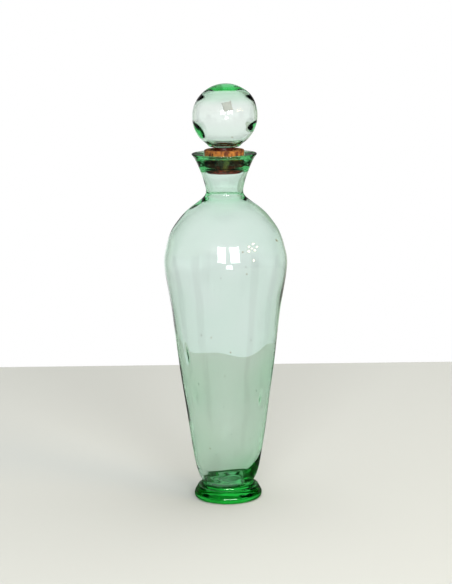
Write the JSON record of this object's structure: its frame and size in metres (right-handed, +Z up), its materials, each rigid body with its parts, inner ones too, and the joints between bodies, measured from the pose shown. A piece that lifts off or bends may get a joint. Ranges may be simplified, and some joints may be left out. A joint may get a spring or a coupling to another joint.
{
  "type": "glass bottle with stopper",
  "caption": "Tall hollow glass decanter with a disc foot, high belly, waisted neck and flared collar, closed by a hollow glass ball stopper glued into a tapered cork.",
  "frame": {"origin": "middle of the foot's underside, on the surface that the bottle stands on", "axes": "+Z up along the bottle's axis to the ball, -Y towards the viewer of the picture, +X to their right"},
  "size_m": [0.1058, 0.1058, 0.3603],
  "materials": {
    "vessel_glass": "fire-polished pale green glass, dark green where it is thick",
    "ball_glass": "fire-polished pale green glass, nearly clear where it is thin",
    "cork": "bare natural cork with open pores and a worn top edge",
    "adhesive": "glossy dark brown glue, swelling up round the stem",
    "label_paper": "bare worn paper"
  },
  "bodies": {
    "bottle": {"glass_vessel": "vessel_glass"},
    "stopper": {"stopper_ball": "ball_glass", "cork_sleeve": "cork", "stem_adhesive": "adhesive", "ball_label": "label_paper"}
  },
  "joints": [
    {"name": "stopper_lift", "type": "slide", "parent": "bottle", "child": "stopper", "axis": [0, 0, 1], "range_m": [0, 0.06]}
  ]
}
